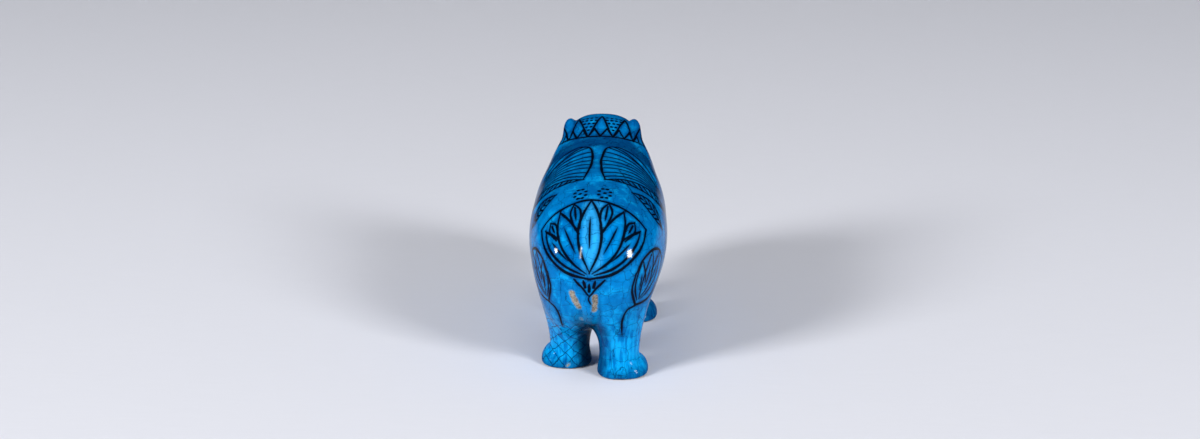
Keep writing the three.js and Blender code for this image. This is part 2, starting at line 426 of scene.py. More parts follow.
def footRelief(points):
    # grooves between the toes, on the front of each foot
    toe = relief["toe"]
    depth = 0
    for leg in legs:
        sole = footOf(leg)
        for turn in toe["turns"]:
            out = direction(180 - turn, 0)
            rim = sole["middle"] * (leg["side"], 1, 1) + out * sole["half"][:2].mean()
            path = [rim + out * away + (0, 0, up) for away, up in toe["path"]]
            depth = depth + groove(points, path, toe)
    return depth


def bodyRelief(points):
    fold, tailSide = relief["fold"], relief["tailSide"]
    depth = groove(points, fold["path"], fold)
    for sign in (1, -1):
        offset = sign * (tail["half"][0] + tailSide["beside"])
        path = [(offset * share, along, up) for share, along, up in tailSide["path"]]
        depth += groove(points, path, tailSide)
    worn, chip = relief["worn"], relief["chip"]
    depth += worn["depth"] * np.clip(0.5 - toWorn(points) / worn["edge"], 0, 1)
    return depth + hollow(points, chip["at"], chip)


reliefDepth = headRelief(base) + footRelief(base) + bodyRelief(base)
shown = settled(base, baseNormal) - baseNormal * reliefDepth[:, None]
shown = np.clip(shown, boxLow - middle, boxHigh - middle)
shown[:, 2] = np.where(base[:, 2] < skin["soles"], 0, shown[:, 2])
print("relief cut")

# The painting. A stroke is a chart, a few points on it and a brush width
brush = {
    "line": 1.55,
    "fine": 1.1,
    "hair": 0.35,
    "step": 0.35,  # mm between the samples of a stroke
    "wander": 0.12,  # how far the hand strays
    "swell": 0.1,  # how much the width varies
    "waves": (5.3, 4.1, 3.1),  # how slowly the hand strays across and up, and the width varies
    "taper": 0.3,  # the share of a stroke that each end tapers over
    "layers": 6,  # strokes close to each other lie on different layers
    "apart": 2.3,
    "reach": 90,  # strokes that start farther apart can't be close
    "every": 3,  # one sample in three is measured
}
line, fine = brush["line"], brush["fine"]  # the two common widths, in mm
strokes = []
dots = []


def curveThrough(spots, steps=14):
    # a smooth curve through a few points
    spots = [np.array(spot, float) for spot in spots]
    if len(spots) < 3:
        return np.array([spots[0] + (spots[-1] - spots[0]) * share for share in np.linspace(0, 1, steps)])
    ends = [2 * spots[0] - spots[1]] + spots + [2 * spots[-1] - spots[-2]]
    curve = []
    for before, start, end, after in zip(ends, ends[1:], ends[2:], ends[3:]):
        for share in np.linspace(0, 1, steps, endpoint=False):
            bend = (2 * start, end - before, 2 * before - 5 * start + 4 * end - after,
                    3 * start - before - 3 * end + after)
            curve.append(sum(part * share ** order for order, part in enumerate(bend)) / 2)
    return np.array(curve + [spots[-1]])


def draw(chart, spots, width, start=0.4, end=0.4, side=1):
    # start and end are the width there, as shares of the full width
    strokes.append({"chart": chart, "spots": spots, "width": width, "start": start, "end": end, "side": side})


def dot(chart, spot, radius, side=1):
    dots.append({"chart": chart, "spot": spot, "radius": radius, "side": side})


def across(first, second, share):
    first, second = np.array(first, float), np.array(second, float)
    return first + (second - first) * share


def leafEdge(foot, tip, belly, points=5, fullest=0.45):
    # one side of a pointed leaf, from its foot to its tip
    foot, tip = np.array(foot, float), np.array(tip, float)
    run = tip - foot
    out = np.array((-run[1], run[0])) / np.linalg.norm(run)
    edge = []
    for share in np.linspace(0, 1, points):
        bulge = (share / fullest) if share < fullest else (1 - share) / (1 - fullest)
        edge.append(foot + run * share + out * belly * math.sin(bulge * math.pi / 2))
    return edge


def petal(chart, foot, tip, belly, width=line, rib=(0.3, 0.66), side=1, start=0.5, hidden=(0, 0)):
    # a pointed petal: two edges, with the share that another petal hides of each, and a rib
    for sign, behind in zip((1, -1), hidden):
        edge = curveThrough(leafEdge(foot, tip, sign * belly))
        draw(chart, edge[int(behind * len(edge)):], width, 0.9 if behind else start, 0.6, side)
    draw(chart, [across(foot, tip, share) for share in rib], fine, 0.3, 0.2, side)


def fan(centre, radius, angle):
    # a place at an angle from straight up, round a centre
    swing = math.radians(angle)
    return (centre[0] + radius * math.sin(swing), centre[1] + radius * math.cos(swing))


def flipped(spots, sign):
    return [(sign * a, b) for a, b in spots]


def alongCurve(spots, share):
    curve = curveThrough(spots)
    return curve[int(round(share * (len(curve) - 1)))]


# The open water lily on the rump
lily = {
    "foot": (0, -25),
    "rim": [(-42, 7.5), (-33, 14), (-20, 20.5), (0, 26), (20, 20.5), (33, 14), (42, 7.5)],
    "calyx": [(-42, 7.5), (-35.5, -3.5), (-26, -13.5), (-13, -22), (0, -25)],
    "root": 4,  # mm from the foot to where the petals start
    # angle, length, belly and the share of one edge that the petal before it hides
    "petals": [(0, 50.5, 6.2, 0), (27, 47, 6.2, 0.5), (48.5, 44.5, 5, 0.62)],
    "behind": [(13.5, 29, 49.3), (39.5, 29.5, 45.3)],  # angle, where it shows from, length
    "spread": 4.6,  # degrees to the edges of a petal behind, where it is widest
    "rootSpread": 0.62,  # as a share of that
    "widest": 2,  # mm past its middle
    "rib": (5, 4),  # mm from its root and its tip
}


def drawLily():
    foot = lily["foot"]
    draw("rump", lily["rim"], line * 1.1, 0.7, 0.7)
    for sign in (1, -1):
        draw("rump", flipped(lily["calyx"], sign), line * 1.1, 0.7, 0.8)
    for angle, length, belly, behind in lily["petals"]:
        for sign in ((1, -1) if angle else (1,)):
            root, tip = fan(foot, lily["root"], sign * angle), fan(foot, length, sign * angle)
            petal("rump", root, tip, sign * belly, start=0.4, hidden=(behind, 0))
    for angle, start, length in lily["behind"]:
        for turn in (angle, -angle):
            tip = fan(foot, length, turn)
            for spread in (-lily["spread"], lily["spread"]):
                root = fan(foot, start, turn + spread * lily["rootSpread"])
                swell = fan(foot, (start + length) / 2 + lily["widest"], turn + spread)
                draw("rump", [root, swell, tip], line * 0.85, 0.5, 0.7)
            rib = [fan(foot, start + lily["rib"][0], turn), fan(foot, length - lily["rib"][1], turn)]
            draw("rump", rib, line * 0.8, 0.2, 0.9)


# A small pointed mark over the tail, with three drops
tailMark = {
    "edge": [(8.6, -26), (4.3, -31.5), (0.3, -37)],
    "drops": [(-3.4, -28.4), (0, -30.8), (3.4, -28.4)],
    "dropHalf": 1.8,
    "dropLean": 0.8,  # how far aside its lower end is, as a share of its middle
    "stem": [(0, -37), (0.4, -41), (-1.6, -46.5)],
}


def drawTailMark():
    for sign in (1, -1):
        draw("rump", flipped(tailMark["edge"], sign), line * 0.9, 0.6, 0.6)
    half = tailMark["dropHalf"]
    for a, b in tailMark["drops"]:
        draw("rump", [(a, b + half), (a * tailMark["dropLean"], b - half)], line * 1.05, 0.5, 1)
    draw("rump", tailMark["stem"], fine * 0.8, 0.9, 0.3)


# The papyrus umbels on the back, one on either side, hanging from the spine down the flanks
umbel = {
    "foot": (9, -27),
    "rim": [(39, 22), (37, 30), (22, 32.5), (6, 32.5), (-12, 30.5), (-26, 27)],
    "front": [(39, 22), (31, 3), (18, -15), (9, -27)],
    "rear": [(-26, 27), (-13, 8), (0, -12), (9, -27)],
    "sepal": [(-26, 27), (-19.5, 7), (-7, -14), (9, -27)],
    "stem": [(9, -27), (10, -36), (7, -46)],
    "rays": 9,
    "raySpan": (0.07, 0.93),  # along the rim
    "rayStops": (0.22, 0.6, 0.97),  # from the foot to the rim
    "rayBow": 5,
    "rungs": 13,
    "rungSpan": (0.08, 0.8),  # along the rear edge
    "rungLean": 0.05,
    "rungEnds": (0.12, 0.88),  # from the rear edge to the sepal's
}


def drawUmbel(side):
    for name in ("rim", "front", "rear", "sepal"):
        draw("back", umbel[name], line * 0.95, 0.7, 0.6, side)
    for share in np.linspace(*umbel["raySpan"], umbel["rays"]):
        top = alongCurve(umbel["rim"], share)
        start, half, end = [across(umbel["foot"], top, stop) for stop in umbel["rayStops"]]
        half = half + (share - 0.5) * np.array((umbel["rayBow"], 0))
        draw("back", [start, half, end], fine * 1.2, 0.35, 0.9, side)
    for share in np.linspace(*umbel["rungSpan"], umbel["rungs"]):
        near = alongCurve(umbel["rear"], share)
        far = alongCurve(umbel["sepal"], min(share + umbel["rungLean"], 1))
        rung = [across(near, far, end) for end in umbel["rungEnds"]]
        draw("back", rung, fine * 1.25, 0.8, 0.8, side)
    draw("back", umbel["stem"], line, 1, 0.4, side)


# Rosettes of dots on the croup
rosette = {"at": 7.3, "ring": (3.7, 5.6), "dots": 8, "radius": 1.12}


def drawRosette(side):
    out, up = rosette["ring"]
    dot("croup", (rosette["at"], 0), rosette["radius"], side)
    for turn in range(rosette["dots"]):
        swing = 2 * math.pi * (turn + 0.5) / rosette["dots"]
        spot = (rosette["at"] + out * math.cos(swing), up * math.sin(swing))
        dot("croup", spot, rosette["radius"], side)


# Leaf buds on the flanks
bud = {
    "foot": (-1, -15),
    "tip": (-6, 14),
    "belly": 6.4,
    "rib": 0.8,
    "veins": 5,
    "veinSpan": (0.22, 0.74),  # along the rib
    "veinRise": 0.14,
    "veinEnds": (0.1, 0.9),  # from the rib to the edge
}


def drawBud(side):
    foot, tip = bud["foot"], bud["tip"]
    for belly in (bud["belly"], -bud["belly"]):
        edge = leafEdge(foot, tip, belly)
        draw("flank", edge, line, 0.8, 0.6, side)
        for share in np.linspace(*bud["veinSpan"], bud["veins"]):
            root, end = across(foot, tip, share), alongCurve(edge, min(share + bud["veinRise"], 1))
            vein = [across(root, end, stop) for stop in bud["veinEnds"]]
            draw("flank", vein, fine * 1.1, 0.7, 0.9, side)
    draw("flank", [foot, across(foot, tip, bud["rib"])], fine * 1.1, 1, 0.5, side)


# Flowers in profile on the thighs
thighFlower = {
    "foot": (-11, -15),
    "rim": [(-13, 3.5), (-7.5, 10), (4, 13.5), (15, 11.5), (21, 5)],
    "left": [(-13, 3.5), (-15, -5), (-11, -15)],
    "right": [(21, 5), (14, -7.5), (2, -14), (-11, -15)],
    "stem": [(-11, -15), (-16.5, -18.5), (-18.5, -27), (-17, -40)],
    "petals": [((-7.5, 9.5), (0, 0.5)), ((4, 13), (0, 0)), ((15, 11), (0.5, 0))],  # tip, hidden shares
    "root": 0.14,  # from the foot to a petal's tip
    "belly": 3.8,
}


def drawThighFlower(side):
    for name in ("rim", "left", "right"):
        draw("thigh", thighFlower[name], line, 0.7, 0.8, side)
    for tip, hidden in thighFlower["petals"]:
        root = across(thighFlower["foot"], tip, thighFlower["root"])
        petal("thigh", root, tip, thighFlower["belly"], line * 0.75, side=side, hidden=hidden)
    draw("thigh", thighFlower["stem"], line * 0.8, 1, 0.3, side)


# The collar on the nape: a line, two crossing zigzags and triangles of dots
collar = {
    "low": -6.8,
    "half": 26.4,
    "past": 3,  # how far the line runs on beyond that
    "pitch": 6.6,
    "small": 8.5,  # the zigzags' heights
    "large": 24,
    "sag": 0.0085,
    "flare": 0.004,
    "dots": (1, 2, 3, 4, 4),  # in each row
    "dotsFrom": 7.5,
    "rowPitch": 3.4,
    "dotPitch": 2.5,
    "radius": 0.98,
}


def onNape(along, up):
    # the collar follows the round of the neck
    return (along * (1 + collar["flare"] * up), collar["low"] + up + collar["sag"] * along * along)


def zigzag(pitch, height, half, width):
    for turn in range(round(2 * half / pitch)):
        at = turn * pitch - half
        peak = onNape(at + pitch / 2, height)
        draw("nape", [onNape(at, 0), peak], width, 0.9, 0.9)
        draw("nape", [peak, onNape(at + pitch, 0)], width, 0.9, 0.9)


def drawCollar():
    half, pitch, end = collar["half"], collar["pitch"], collar["half"] + collar["past"]
    draw("nape", [onNape(at, 0) for at in (-end, -half / 2, 0, half / 2, end)], line, 0.6, 0.6)
    zigzag(pitch, collar["small"], half, line * 0.8)
    zigzag(2 * pitch, collar["large"], half + pitch, line * 0.8)
    for place in (-1, 1):
        for row, count in enumerate(collar["dots"]):
            for turn in range(count):
                out = place * pitch + (turn - (count - 1) / 2) * collar["dotPitch"]
                dot("nape", onNape(out, collar["dotsFrom"] + row * collar["rowPitch"]), collar["radius"])


# The sides, which the photograph doesn't show: an open flower between two buds
sidePlant = {
    "foot": (-6, -14),
    "petals": [(-50, 20), (-25, 21.5), (0, 22), (25, 21.5), (50, 20)],  # angle, length
    "root": 2,
    "belly": 2.9,
    "rim": 21,
    "rimAngles": (-60, -30, 0, 30, 60),
    "stem": [(-6, -14), (-5, -19), (-7, -26)],
    "buds": (-30, 18),
    "budEnds": (-19, 2),
    "budRib": (-16, -3),
    "budStem": -27,
    "budLean": 3,
    "budBelly": 4.2,
}


def drawSide(side):
    foot = sidePlant["foot"]
    for angle, length in sidePlant["petals"]:
        root, tip = fan(foot, sidePlant["root"], angle), fan(foot, length, angle)
        petal("side", root, tip, sidePlant["belly"], line * 0.9, side=side)
    rim = [fan(foot, sidePlant["rim"], angle) for angle in sidePlant["rimAngles"]]
    draw("side", rim, line, 0.6, 0.6, side)
    draw("side", sidePlant["stem"], line, 1, 0.5, side)
    (low, high), (ribLow, ribHigh) = sidePlant["budEnds"], sidePlant["budRib"]
    for at in sidePlant["buds"]:
        lean = math.copysign(sidePlant["budLean"], at)
        for belly in (sidePlant["budBelly"], -sidePlant["budBelly"]):
            draw("side", leafEdge((at, low), (at + lean, high), belly), line, 0.7, 0.5, side)
        draw("side", [(at, ribLow), (at + lean * 0.6, ribHigh)], fine, 1, 0.3, side)
        draw("side", [(at, low), (at * 0.8, sidePlant["budStem"])], line * 0.8, 1, 0.4, side)


# The head, most of it hidden in the photograph: eyes, brows, nostrils, whisker dots and a sprig of leaves
face = {
    "eyeTop": [(-5.6, 1.2), (-2, 4.8), (2.6, 5), (6.8, 1)],
    "eyeLow": [(-5.6, 1.2), (-1, -1.6), (3, -1.6), (6.8, 1)],
    "brow": [(-7, 5.5), (-2, 9), (4, 9), (9, 5)],
    "pupil": (0.6, 1.9),
    "pupilRadius": 1.5,
    "nostril": (-15.8, -19.9),
    "nostrilRadius": 1.7,
    "whiskers": [(20, -14), (24, -14), (28, -14), (22, -10.4), (26, -10.4),
                 (20, -6.8), (24, -6.8), (28, -6.8)],
    "whiskerRadius": 0.6,
    "sprig": (0, 2),
    "leaves": [(-42, 14), (0, 17), (42, 14)],  # angle, length
    "leafRoot": 1.5,
    "leafBelly": 3.2,
    "sprigStem": [(0, 2), (0, -6), (0, -13)],
}


def drawEye(side):
    for name, width, end in (("eyeTop", 0.8, 0.5), ("eyeLow", 0.7, 0.5), ("brow", 0.8, 0.4)):
        draw("eye", face[name], line * width, end, end, side)
    dot("eye", face["pupil"], face["pupilRadius"], side)


def drawMuzzle(side):
    dot("face", face["nostril"], face["nostrilRadius"], side)
    for spot in face["whiskers"]:
        dot("cheek", spot, face["whiskerRadius"], side)


def drawSprig():
    foot = face["sprig"]
    for angle, length in face["leaves"]:
        root, tip = fan(foot, face["leafRoot"], angle), fan(foot, length, angle)
        petal("face", root, tip, face["leafBelly"], line * 0.85)
    draw("face", face["sprigStem"], line * 0.85, 1, 0.4)


def onBothSides(*drawings):
    for side in (1, -1):
        for drawing in drawings:
            drawing(side)


# A long hairline crack in the glaze, over the right of the back
crack = [(0.4, 18.9), (-6, 17), (-13, 13.6), (-21, 11.8), (-30, 6.4), (-39, 2.4)]

drawLily()
drawTailMark()
onBothSides(drawUmbel)
onBothSides(drawRosette, drawBud, drawThighFlower)
drawCollar()
onBothSides(drawSide)
onBothSides(drawEye, drawMuzzle)
drawSprig()
draw("back", crack, brush["hair"], 0.6, 0.4, -1)


def sampleStroke(stroke):
    # the stroke on the figure: its places, the run and side vectors there, its two ends and half widths
    flat = curveThrough(stroke["spots"])
    lengths = np.concatenate(([0], np.cumsum(np.linalg.norm(np.diff(flat, axis=0), axis=1))))
    count = max(int(lengths[-1] / brush["step"]), 4)
    at = np.linspace(0, lengths[-1], count)
    flat = np.stack([np.interp(at, lengths, flat[:, axis]) for axis in range(2)], 1)
    phases = [luck.uniform(0, 6.28) for _ in range(4)]  # the last one is spare
    strayAcross, strayUp, swell = [np.sin(at / wave + phase) for wave, phase in zip(brush["waves"], phases)]
    flat = flat + np.stack([strayAcross, strayUp], 1) * brush["wander"]
    places = onFigure(stroke["chart"], flat, stroke["side"])
    runs = unit(np.gradient(places, axis=0))
    sides = unit(np.cross(unit(slopeAt(places)), runs))
    share = at / at[-1]
    half = stroke["width"] / 2 * (1 + brush["swell"] * swell)
    for width, tip, full in ((stroke["start"], 0, brush["taper"]), (stroke["end"], 1, 1 - brush["taper"])):
        half = half * (width + (1 - width) * np.sin(fadeIn(share, tip, full) * math.pi / 2))
    ends = np.zeros(count)
    ends[0], ends[-1] = -1, 1
    return places, runs, sides, ends, half


def gapBetween(first, second):
    # about how close two strokes come
    first, second = first[0], second[0]
    if np.linalg.norm(first[0] - second[0]) > brush["reach"]:
        return math.inf
    apart = second[::brush["every"], None] - first[None, ::brush["every"]]
    return float(np.sqrt((apart ** 2).sum(2).min()))


def layOut(samples):
    # shares the strokes out so that close ones lie on different layers
    shared = [[] for _ in range(brush["layers"])]
    for sample in samples:
        gaps = [min((gapBetween(other, sample) for other in layer), default=math.inf) for layer in shared]
        clear = [index for index, gap in enumerate(gaps) if gap > brush["apart"]]
        shared[clear[0] if clear else int(np.argmax(gaps))].append(sample)
    return [layer for layer in shared if layer]


def strokeDistances(layer):
    # at each vertex: the offset to the side of the nearest stroke, the distance to it and its half width
    places, runs, sides, ends, half = [np.concatenate(values) for values in zip(*layer)]
    tree = KDTree(len(places))
    for index, place in enumerate(places):
        tree.insert(place, index)
    tree.balance()
    found = [tree.find(place) for place in base]
    nearest = np.array([hit[1] for hit in found])
    away = base - places[nearest]
    aside = np.sum(away * sides[nearest], 1)
    beyond = np.maximum(np.sum(away * runs[nearest], 1) * ends[nearest], 0)
    distance = np.hypot(aside, beyond)
    distance = np.maximum(distance, np.array([hit[2] for hit in found]) - brush["step"])
    return np.stack((aside, distance, half[nearest]), 1)


def dotDistances(far=9.0):
    # at each vertex: the distance to the edge of the nearest dot
    groups = {}
    for item in dots:
        groups.setdefault((item["chart"], item["side"]), []).append(item)
    edge = np.full(len(base), far)
    for (chart, side), items in groups.items():
        places = onFigure(chart, [item["spot"] for item in items], side)
        for place, item in zip(places, items):
            edge = np.minimum(edge, np.linalg.norm(base - place, axis=1) - item["radius"])
    return edge


samples = [sampleStroke(stroke) for stroke in strokes]
layers = layOut(samples)
print(len(strokes), "strokes on layers of", [len(layer) for layer in layers], "and", len(dots), "dots")


# The glazed figure
def hollowness(points, normals, edges, turns=26, softening=4):
    # how hollow the surface is around each vertex: above zero where glaze gathers and where shade is painted
    # into the hollows
    spread = points
    for _ in range(turns):
        spread = neighbourMean(spread, edges)
    lift = np.sum((spread - points) * normals, 1)
    for _ in range(softening):
        lift = neighbourMean(lift, edges)
    return lift


def addValues(mesh, name, values):
    kind = "FLOAT_VECTOR" if values.ndim > 1 else "FLOAT"
    layer = mesh.attributes.new(name, kind, "POINT")
    layer.data.foreach_set("vector" if values.ndim > 1 else "value", values.astype(np.float32).ravel())


def addFigure():
    mesh = skinMesh
    mesh.name = "glazed_figure"
    for index, layer in enumerate(layers):
        addValues(mesh, "ink" + str(index), strokeDistances(layer))
    addValues(mesh, "dots", dotDistances())
    addValues(mesh, "worn", toWorn(base))
    addValues(mesh, "poolAndShade", hollowness(shown, baseNormal, skinEdges))
    mesh.vertices.foreach_set("co", ((shown + middle) * mm).astype(np.float32).ravel())
    mesh.polygons.foreach_set("use_smooth", np.ones(len(mesh.polygons), bool))
    mesh.update()
    return addObject("glazed_figure", mesh)


figure = addFigure()
print("figure made")


# Materials
class Shade:
    # wraps a node tree and one of its output sockets; an expression on it adds Math nodes
    def __init__(self, tree, socket=None):
        self.tree = tree
        self.socket = socket

    def node(self, kind, settings=None, sockets=None, output=0):
        made = self.tree.nodes.new(kind)
        for name, value in (settings or {}).items():
            setattr(made, name, value)
        for name, value in (sockets or {}).items():
            if isinstance(value, Shade):
                self.tree.links.new(value.socket, made.inputs[name])
            else:
                made.inputs[name].default_value = value
        return Shade(self.tree, made.outputs[output] if made.outputs else None)

    def maths(self, operation, first, second=0.0):
        return self.node("ShaderNodeMath", {"operation": operation}, {0: first, 1: second})

    def __add__(self, other):
        return self.maths("ADD", self, other)

    def __radd__(self, other):
        return self.maths("ADD", other, self)

    def __sub__(self, other):
        return self.maths("SUBTRACT", self, other)

    def __rsub__(self, other):
        return self.maths("SUBTRACT", other, self)

    def __mul__(self, other):
        return self.maths("MULTIPLY", self, other)

    def __rmul__(self, other):
        return self.maths("MULTIPLY", other, self)

    def __mod__(self, other):
        return self.maths("FLOORED_MODULO", self, other)

    def __abs__(self):
        return self.maths("ABSOLUTE", self)

    def least(self, other):
        return self.maths("MINIMUM", self, other)

    def most(self, other):
        return self.maths("MAXIMUM", self, other)

    def step(self, low, high):
        # 0 up to low and 1 from high on, with a soft step between
        return self.node("ShaderNodeMapRange", {"interpolation_type": "SMOOTHSTEP"},
                         {"Value": self, "From Min": low, "From Max": high})

    def mix(self, first, second):
        # the first colour where this mask is 0 and the second where it is 1
        ends = [(*end, 1) if isinstance(end, tuple) else end for end in (first, second)]
        return self.node("ShaderNodeMix", {"data_type": "RGBA"}, {0: self, 6: ends[0], 7: ends[1]}, 2)

    def stretched(self, scale):
        return self.node("ShaderNodeVectorMath", {"operation": "MULTIPLY"}, {0: self, 1: scale})

    def parts(self):
        return [self.node("ShaderNodeSeparateXYZ", {}, {0: self}, axis) for axis in range(3)]

    def kept(self, name, output=2):
        # a value kept at the vertices, a number at output 2 or a vector at output 1
        return self.node("ShaderNodeAttribute", {"attribute_name": name}, output=output)

    def cells(self, size, randomness):
        # how far inside its cell a place is: 0 on the lines of a squarish net
        return self.node("ShaderNodeTexVoronoi", {"feature": "DISTANCE_TO_EDGE"},
                         {"Vector": self, "Scale": 1 / size, "Randomness": randomness})

    def noise(self, scale, detail, roughness, output=0):
        return self.node("ShaderNodeTexNoise", {}, {"Vector": self, "Scale": scale, "Detail": detail,
                                                    "Roughness": roughness}, output)


def newMaterial(name, surfaceFrom):
    # a material whose surface grows from the place on the object, in m
    material = bpy.data.materials.new(name)
    material.use_nodes = True
    material.node_tree.nodes.clear()
    place = Shade(material.node_tree).node("ShaderNodeTexCoord", output=3)
    place.node("ShaderNodeOutputMaterial", {}, {0: surfaceFrom(place)})
    return material


# The glaze's colours, noises and nets
glaze = {
    "deep": srgb(0, 92, 158),
    "blue": srgb(0, 121, 192),
    # the paler middle petal, partly a painted soft reflection
    "pale": srgb(10, 158, 223),
    "petal": srgb(46, 160, 222),
    # glaze gathered thick in hollows, also used as painted shade
    "pooledAndShaded": srgb(0, 38, 90),
    "seamTintAndShade": srgb(6, 52, 74),
    "ink": srgb(2, 5, 14),
    "halo": srgb(0, 26, 84),
    "craze": srgb(0, 28, 64),
    "thin": srgb(86, 164, 204),
    "body": srgb(156, 149, 138),
    "bodyDark": srgb(100, 94, 85),
    "bodySpeck": srgb(46, 40, 36),
    # noises: waves a mm, detail and roughness
    "cloud": (0.035, 4, 0.55),
    "mottle": (0.16, 4, 0.6),
    "grit": (0.9, 3, 0.6),
    "streaks": (0.42, 3, 0.55),
    "crazing": (0.2, 2, 0.5),
    "pits": (0.75, 1, 0.5),
    "specks": (1.3, 2, 0.5),
    "wander": (0.22, 2, 0.5),
    # the crackle's cells and the slanting net, in mm
    "netSize": 7.0,
    "hairSize": 3.15,
    "slantSize": 7.2,
    "neckAt": -15,
    "seamAt": 4,
}

# The glaze's areas: how strong it is, then for each way how ragged the edge is, where it starts and is full
glazeAreas = {
    "paleMiddlePetalAndSheen": (0.6, ("aside", 0, 7, 4), ("along", 0, 70, 80), ("height", 12, 60, 70)),
    "legs": (0.75, ("height", 0, 52, 20)),
    # painted shade on the band behind the collar, where the neck dips and less light falls
    "neck": (0.75, ("fromNeck", 10, 15, 5), ("height", 0, 60, 90)),
    # darker between the legs: partly glaze gathered there, partly painted shade between the legs
    "betweenLegsPoolAndShade": (0.8, ("aside", 8, 11, 4), ("height", 0, 36, 28)),
    # painted shade on the fore feet, under the belly
    "foreFeetShade": (0.7, ("height", 8, 26, 8), ("along", 0, 20, 0)),
    # darker towards the bottom of the feet
    "soles": (0.65, ("height", 9, 9, 1)),
    # painted shade on the ears
    "earShade": (0.4, ("aside", 0, 12, 16), ("height", 0, 92, 97), ("along", 0, -34, -40)),
    # greenish glaze with painted shade between the hind legs and under the tail
    "seamTintAndShade": (0.75, ("fromSeam", 10, 10, 3), ("height", 0, 45, 30), ("along", 0, 45, 60)),
    "slants": (1, ("height", 0, 36, 29), ("leftwards", 0, 0, 4), ("along", 0, 49, 58)),
    "dullFeet": (0.8, ("height", 0, 17, 10)),
}


def glazeSurface(place):
    place = place.stretched((1000, 1000, 1000))  # in mm
    leftwards, along, height = place.parts()
    cloud = place.noise(*glaze["cloud"])
    mottle = place.noise(*glaze["mottle"])
    grit = place.noise(*glaze["grit"])
    drift = mottle - 0.5
    ways = {
        "leftwards": leftwards,
        "aside": abs(leftwards),
        "along": along,
        "height": height,
        "fromNeck": abs(along - glaze["neckAt"]),
        "fromSeam": abs(leftwards - glaze["seamAt"]),
    }

    def area(name):
        mask, *edges = glazeAreas[name]
        for way, ragged, start, full in edges:
            value = ways[way] + drift * ragged if ragged else ways[way]
            mask = value.step(start, full) * mask
        return mask

    colour = (cloud * 0.7 + mottle * 0.3).step(0.36, 0.62).mix(glaze["deep"], glaze["blue"])
    colour = ((mottle * 0.85 + grit * 0.15).step(0.48, 0.72) * 0.75).mix(colour, glaze["pale"])
    streaks = place.stretched((1, 1, 0.16)).noise(*glaze["streaks"])
    colour = (streaks.step(0.38, 0.58) * area("legs")).mix(colour, glaze["pale"])
    # a lighter middle petal, partly its own paler glaze and partly a painted soft reflection around the
    # highlight there
    colour = area("paleMiddlePetalAndSheen").mix(colour, glaze["petal"])
    # darker glaze gathered in the hollows, with painted shade in them too, joined with the painted shade of
    # the neck band, between the legs, on the fore feet and on the ears; the feet darken towards the bottom
    poolAndShadeMask = place.kept("poolAndShade").step(0.02, 0.6) * 0.85
    for name in ("soles", "neck", "betweenLegsPoolAndShade", "foreFeetShade", "earShade"):
        poolAndShadeMask = poolAndShadeMask.most(area(name))
    colour = poolAndShadeMask.mix(colour, glaze["pooledAndShaded"])
    # the glaze is dull and greenish between the hind legs and under the tail, with painted shade there where
    # the legs and tail shadow it
    colour = area("seamTintAndShade").mix(colour, glaze["seamTintAndShade"])

    # the painted lines, with a blue bleed around them
    wobble = (grit - 0.5) * 0.5
    edge = place.kept("dots")
    bleed = edge + 0.9
    for index in range(len(layers)):
        offset, distance, half = place.kept("ink" + str(index), 1).parts()
        edge = edge.least((abs(offset) - half).most(distance - half - 0.5))
        bleed = bleed.least(distance - half)
    ink = (edge + wobble * 0.6).step(0.16, -0.16)
    halo = (bleed + wobble).step(2.1, -0.6)

    # the crackle, and a slanting net of fine cracks on the back of the left hind leg
    crazing = place.noise(*glaze["crazing"])
    bent = place.node("ShaderNodeVectorMath", {"operation": "MULTIPLY_ADD"},
                      {0: place.noise(*glaze["wander"], 1), 1: (3, 3, 3), 2: place})
    cracks = bent.cells(glaze["netSize"], 0.4).step(0.026, 0.01) * (crazing.step(0.3, 0.5) * 0.5 + 0.3)
    hairs = bent.cells(glaze["hairSize"], 0.7).step(0.03, 0.012) * crazing.step(0.5, 0.62) * 0.5
    bentAcross, bentAlong, bentUp = bent.parts()
    slants = [abs((bentUp + bentAcross * lean) * (1 / glaze["slantSize"]) % 1 - 0.5) for lean in (1, -1)]
    ways["leftwards"], ways["along"] = bentAcross, bentAlong
    slanting = area("slants")
    craze = (cracks.most(hairs) * (1 - slanting)).most(slants[0].most(slants[1]).step(0.44, 0.47) * slanting)

    colour = (halo * 0.62).mix(colour, glaze["halo"])
    colour = (craze * 0.8).mix(colour, glaze["craze"])
    pits = place.noise(*glaze["pits"]).step(0.735, 0.765)
    colour = (ink * 0.97).most(pits * 0.8).mix(colour, glaze["ink"])

    # where the glaze is thin or gone, and the bare rim at the soles
    worn = place.kept("worn")
    gone = (worn + (grit - 0.5) * 1.6 + drift * 1.5).step(0.25, -0.25)
    bare = gone.most((height + drift * 1.6).step(0.9, 0.4))
    thinning = (worn + drift * 2.5).step(0.9, 0.1)
    colour = (thinning * 0.4).mix(colour, glaze["thin"])
    paste = (grit * 0.6 + mottle * 0.4).step(0.4, 0.62).mix(glaze["bodyDark"], glaze["body"])
    specks = place.noise(*glaze["specks"]).step(0.6, 0.68)
    paste = (specks * 0.8).mix(paste, glaze["bodySpeck"])
    colour = bare.mix(colour, paste)

    bumps = cloud * 0.15 + mottle * 0.03 - craze * 0.01 - gone * 0.05 + grit * gone * 0.2
    normal = place.node("ShaderNodeBump", {}, {"Height": bumps, "Strength": 0.25, "Distance": 0.0015})
    return place.node("ShaderNodeBsdfPrincipled", {}, {
        "Base Color": colour,
        "Roughness": bare.step(0, 1) * 0.5 + 0.35,
        "Normal": normal,
        "Coat Weight": (1 - bare) * (1 - area("dullFeet")),
        "Coat Roughness": 0.08,
        "Coat IOR": 1.16,
        "Specular IOR Level": 0.0,
    })


figure.data.materials.clear()
figure.data.materials.append(newMaterial("crazed_blue_glaze", glazeSurface))
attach(figure, "root")
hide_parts("hippopotamus")
print("figure glazed")

